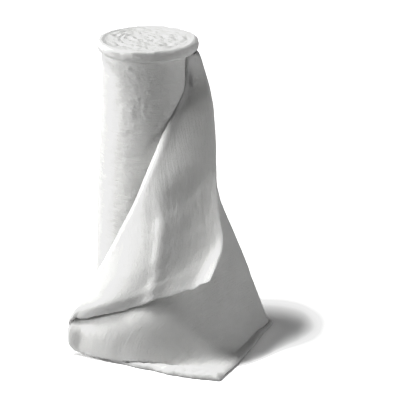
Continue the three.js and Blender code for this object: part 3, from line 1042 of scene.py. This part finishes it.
def cotton_material(name, colour, shade, streak_vector, softness):
    """Absorbent cotton: bleached fibre carded into a web, so matt, soft and cloudy.

    Light enters between the fibres and comes out again nearby, which lifts the shadows.
    """
    material, tree = bare_material(name)
    object_at = add(tree, "TexCoord").outputs["Object"]

    # carding leaves thick and thin places a centimetre across
    cloud = add(tree, "TexNoise", {"Scale": 1 / 0.011, "Detail": 3.0, "Roughness": 0.55}, Vector=object_at)

    # wisps of fibre run with the web, and loose ends cross them
    streaks_at = streak_vector(tree)
    wisps = add(tree, "TexNoise", {"Scale": 1.0, "Detail": 4.0, "Roughness": 0.6}, Vector=streaks_at)
    fluff = add(tree, "TexNoise", {"Scale": 1 / 0.0016, "Detail": 4.0, "Roughness": 0.65}, Vector=object_at)
    coarse = add(tree, "Bump", {"Strength": 0.55, "Distance": 1.0 * MM}, Height=wisps.outputs["Fac"])
    fine = add(tree, "Bump", {"Strength": 0.5, "Distance": 0.6 * MM}, Height=fluff.outputs["Fac"],
               Normal=coarse.outputs["Normal"])
    shader = add(tree, "BsdfPrincipled", {
        "Roughness": 0.95, "Specular IOR Level": 0.15, "Sheen Weight": 0.2, "Sheen Roughness": 0.6,
        "Subsurface Weight": softness, "Subsurface Radius": (1.0, 1.0, 1.0), "Subsurface Scale": 3.5 * MM},
                 Base_Color=tinted(tree, cloud, colour, shade), Normal=fine.outputs["Normal"])
    add(tree, "OutputMaterial", Surface=shader.outputs["BSDF"])
    return material


def wound_streaks(tree):
    """Stretched coordinates that follow the turns: long round the roll, short up it and inwards."""
    split = add(tree, "SeparateXYZ", Vector=add(tree, "TexCoord").outputs["Object"])
    flat = add(tree, "CombineXYZ", X=split.outputs["X"], Y=split.outputs["Y"])
    radius = add(tree, "VectorMath", {"operation": "LENGTH"}, Vector=flat.outputs["Vector"])
    depth = add(tree, "Math", {"operation": "SUBTRACT"})
    tree.links.new(split.outputs["Z"], depth.inputs[0])
    tree.links.new(radius.outputs["Value"], depth.inputs[1])
    joined = add(tree, "CombineXYZ", X=split.outputs["X"], Y=split.outputs["Y"], Z=depth.outputs["Value"])
    scaled = add(tree, "Mapping", {"Scale": (1 / 0.014, 1 / 0.014, 1 / 0.0016)},
                 Vector=joined.outputs["Vector"])
    return scaled.outputs["Vector"]


def web_streaks(tree):
    """Stretched coordinates of the flat web: long the way that it was carded, short across."""
    flat = add(tree, "UVMap", {"uv_map": "flat_web"})
    scaled = add(tree, "Mapping", {"Scale": (1 / 0.016, 1 / 0.0018, 1.0)}, Vector=flat.outputs["UV"])
    return scaled.outputs["Vector"]


def fibre_material():
    """Single bleached cotton fibres: thin, white and matt."""
    material, tree = bare_material("loose cotton fibre")
    at_object = add(tree, "TexCoord").outputs["Object"]
    tone = add(tree, "TexNoise", {"Scale": 1 / 0.02, "Detail": 1.0}, Vector=at_object)
    shader = add(tree, "BsdfPrincipled", {"Roughness": 0.8, "Specular IOR Level": 0.2},
                 Base_Color=tinted(tree, tone, "#f8f8f7", "#f0f0ef"))
    add(tree, "OutputMaterial", Surface=shader.outputs["BSDF"])
    return material


def board_material():
    """Studio sweep of matt board: it shows white, and throws less light back up than it shows."""
    material, tree = bare_material("white board")
    thrown = add(tree, "BsdfDiffuse", {"Color": linear("#cccccc")})
    shown = add(tree, "BsdfDiffuse", {"Color": (FLOOR_SHOWN, FLOOR_SHOWN, FLOOR_SHOWN, 1.0)})
    add(tree, "OutputMaterial", Surface=thrown_and_shown(tree, thrown, shown))
    return material


# Lights, surround and camera

def softbox(name, towards, distance, size, strength):
    """Rectangular soft light that lies the given way from the roll and faces it."""
    towards = Vector(towards).normalized()
    bpy.ops.object.light_add(type="AREA", location=towards * distance)
    lamp = bpy.context.object
    lamp.name = name
    lamp.data.shape = "RECTANGLE"
    lamp.data.size, lamp.data.size_y = size
    lamp.data.energy = strength * math.pi * distance ** 2
    lamp.rotation_mode = "QUATERNION"
    lamp.rotation_quaternion = towards.to_track_quat("Z", "Y")


def white_surround(fill):
    """Surround that shows white and throws a weaker, even light."""
    world = bpy.data.worlds.new("white surround")
    world.use_nodes = True
    tree = world.node_tree
    tree.nodes.clear()
    shown = add(tree, "Background", {"Color": (1, 1, 1, 1), "Strength": SURROUND_SHOWN})
    thrown = add(tree, "Background", {"Color": (1, 1, 1, 1), "Strength": fill})
    add(tree, "OutputWorld", Surface=thrown_and_shown(tree, thrown, shown))
    return world


def place_camera():
    """Camera with a long lens, straight in front and looking down on the roll."""
    bpy.ops.object.camera_add(location=CAMERA_AT, rotation=(math.radians(90 - CAMERA_DOWN), 0, 0))
    camera = bpy.context.object
    camera.name = "camera"
    camera.data.sensor_width = 36.0
    camera.data.lens = CAMERA_LENS
    camera.data.clip_end = CAMERA_REACH
    return camera


def hold_highlights(view):
    """Holds lit cotton just short of white, while the floor and the surround stay white."""
    view.use_curve_mapping = True
    mapping = view.curve_mapping
    mapping.use_clip = False
    mapping.extend = "EXTRAPOLATED"
    curve = mapping.curves[ALL_COLOURS]
    for point, place_at in zip(curve.points, (HIGHLIGHTS[0], HIGHLIGHTS[-1])):
        point.location = place_at
    for place_at in HIGHLIGHTS[1:-1]:
        curve.points.new(*place_at)
    for point in curve.points:
        point.handle_type = "VECTOR"
    mapping.update()


# Operators

class COTTON_OT_wind_roll(bpy.types.Operator):
    """Make the wound roll"""
    bl_idname = "cotton.wind_roll"
    bl_label = "Wind the roll"

    def execute(self, context):
        roll = wind_roll(context.scene.cotton_roll)
        cotton = cotton_material("wound cotton web", "#f7f7f6", "#f1f1f0", wound_streaks, softness=0.6)
        roll.data.materials.append(cotton)
        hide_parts("wound_roll")
        return {"FINISHED"}


class COTTON_OT_drape_web(bpy.types.Operator):
    """Make the loose end of the web, drawn off and folded over"""
    bl_idname = "cotton.drape_web"
    bl_label = "Drape the loose end"

    def execute(self, context):
        sizes = context.scene.cotton_web
        web = drape_web(sizes)
        cotton = cotton_material("carded cotton web", "#f7f7f6", "#f0f0ef", web_streaks, softness=0.9)
        web.data.materials.append(cotton)
        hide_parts("loose_end")
        return {"FINISHED"}


class COTTON_OT_tease_fibres(bpy.types.Operator):
    """Make the stray fibres that stand off the roll and the web"""
    bl_idname = "cotton.tease_fibres"
    bl_label = "Tease out stray fibres"

    def execute(self, context):
        look = context.scene.cotton_fibre
        material = fibre_material()
        sources = (("cotton_roll", "wound_cotton"), ("cotton_web", "drawn_cotton"))
        for seed, (source, slot) in enumerate(sources, start=1):
            strands = tease_fibres(bpy.data.objects[source], source + "_fibres", look, seed)
            strands.data.materials.append(material)
        return {"FINISHED"}


class COTTON_OT_light_studio(bpy.types.Operator):
    """Make the white floor, the soft lights, the surround and the camera"""
    bl_idname = "cotton.light_studio"
    bl_label = "Set up the studio"

    def execute(self, context):
        scene, light = context.scene, context.scene.cotton_studio
        deselect()
        bpy.ops.mesh.primitive_plane_add(size=FLOOR_SIZE)
        floor = context.object
        floor.name = "floor"
        floor.data.materials.append(board_material())

        for name, (towards, distance, size) in SOFTBOXES.items():
            softbox(name, towards, distance, size, getattr(light, name))
        scene.world = white_surround(light.fill)
        scene.camera = place_camera()
        scene.view_settings.view_transform = "Standard"
        scene.view_settings.look = "None"
        scene.view_settings.gamma = light.contrast
        hold_highlights(scene.view_settings)
        scene.cycles.use_denoising = True
        return {"FINISHED"}


class COTTON_PT_panel(bpy.types.Panel):
    """The roll's pieces and their sizes"""
    bl_idname = "COTTON_PT_panel"
    bl_label = "Cotton roll"
    bl_space_type = "VIEW_3D"
    bl_region_type = "UI"
    bl_category = "Cotton"

    def draw(self, context):
        for name, group in PROPERTY_GROUPS.items():
            box = self.layout.box()
            for key in group.__annotations__:
                box.prop(getattr(context.scene, name), key)
        for operator in OPERATORS:
            self.layout.operator(operator.bl_idname)


OPERATORS = (COTTON_OT_wind_roll, COTTON_OT_drape_web, COTTON_OT_tease_fibres, COTTON_OT_light_studio)
CLASSES = (*PROPERTY_GROUPS.values(), *OPERATORS, COTTON_PT_panel)


def register():
    for item in CLASSES:
        bpy.utils.register_class(item)
    for name, group in PROPERTY_GROUPS.items():
        setattr(bpy.types.Scene, name, bpy.props.PointerProperty(type=group))


def unregister():
    for name in PROPERTY_GROUPS:
        delattr(bpy.types.Scene, name)
    for item in reversed(CLASSES):
        bpy.utils.unregister_class(item)


def main():
    register()
    bpy.ops.cotton.wind_roll()
    bpy.ops.cotton.drape_web()
    bpy.ops.cotton.tease_fibres()
    bpy.ops.cotton.light_studio()
    bpy.context.view_layer.update()


if __name__ == "__main__":
    main()
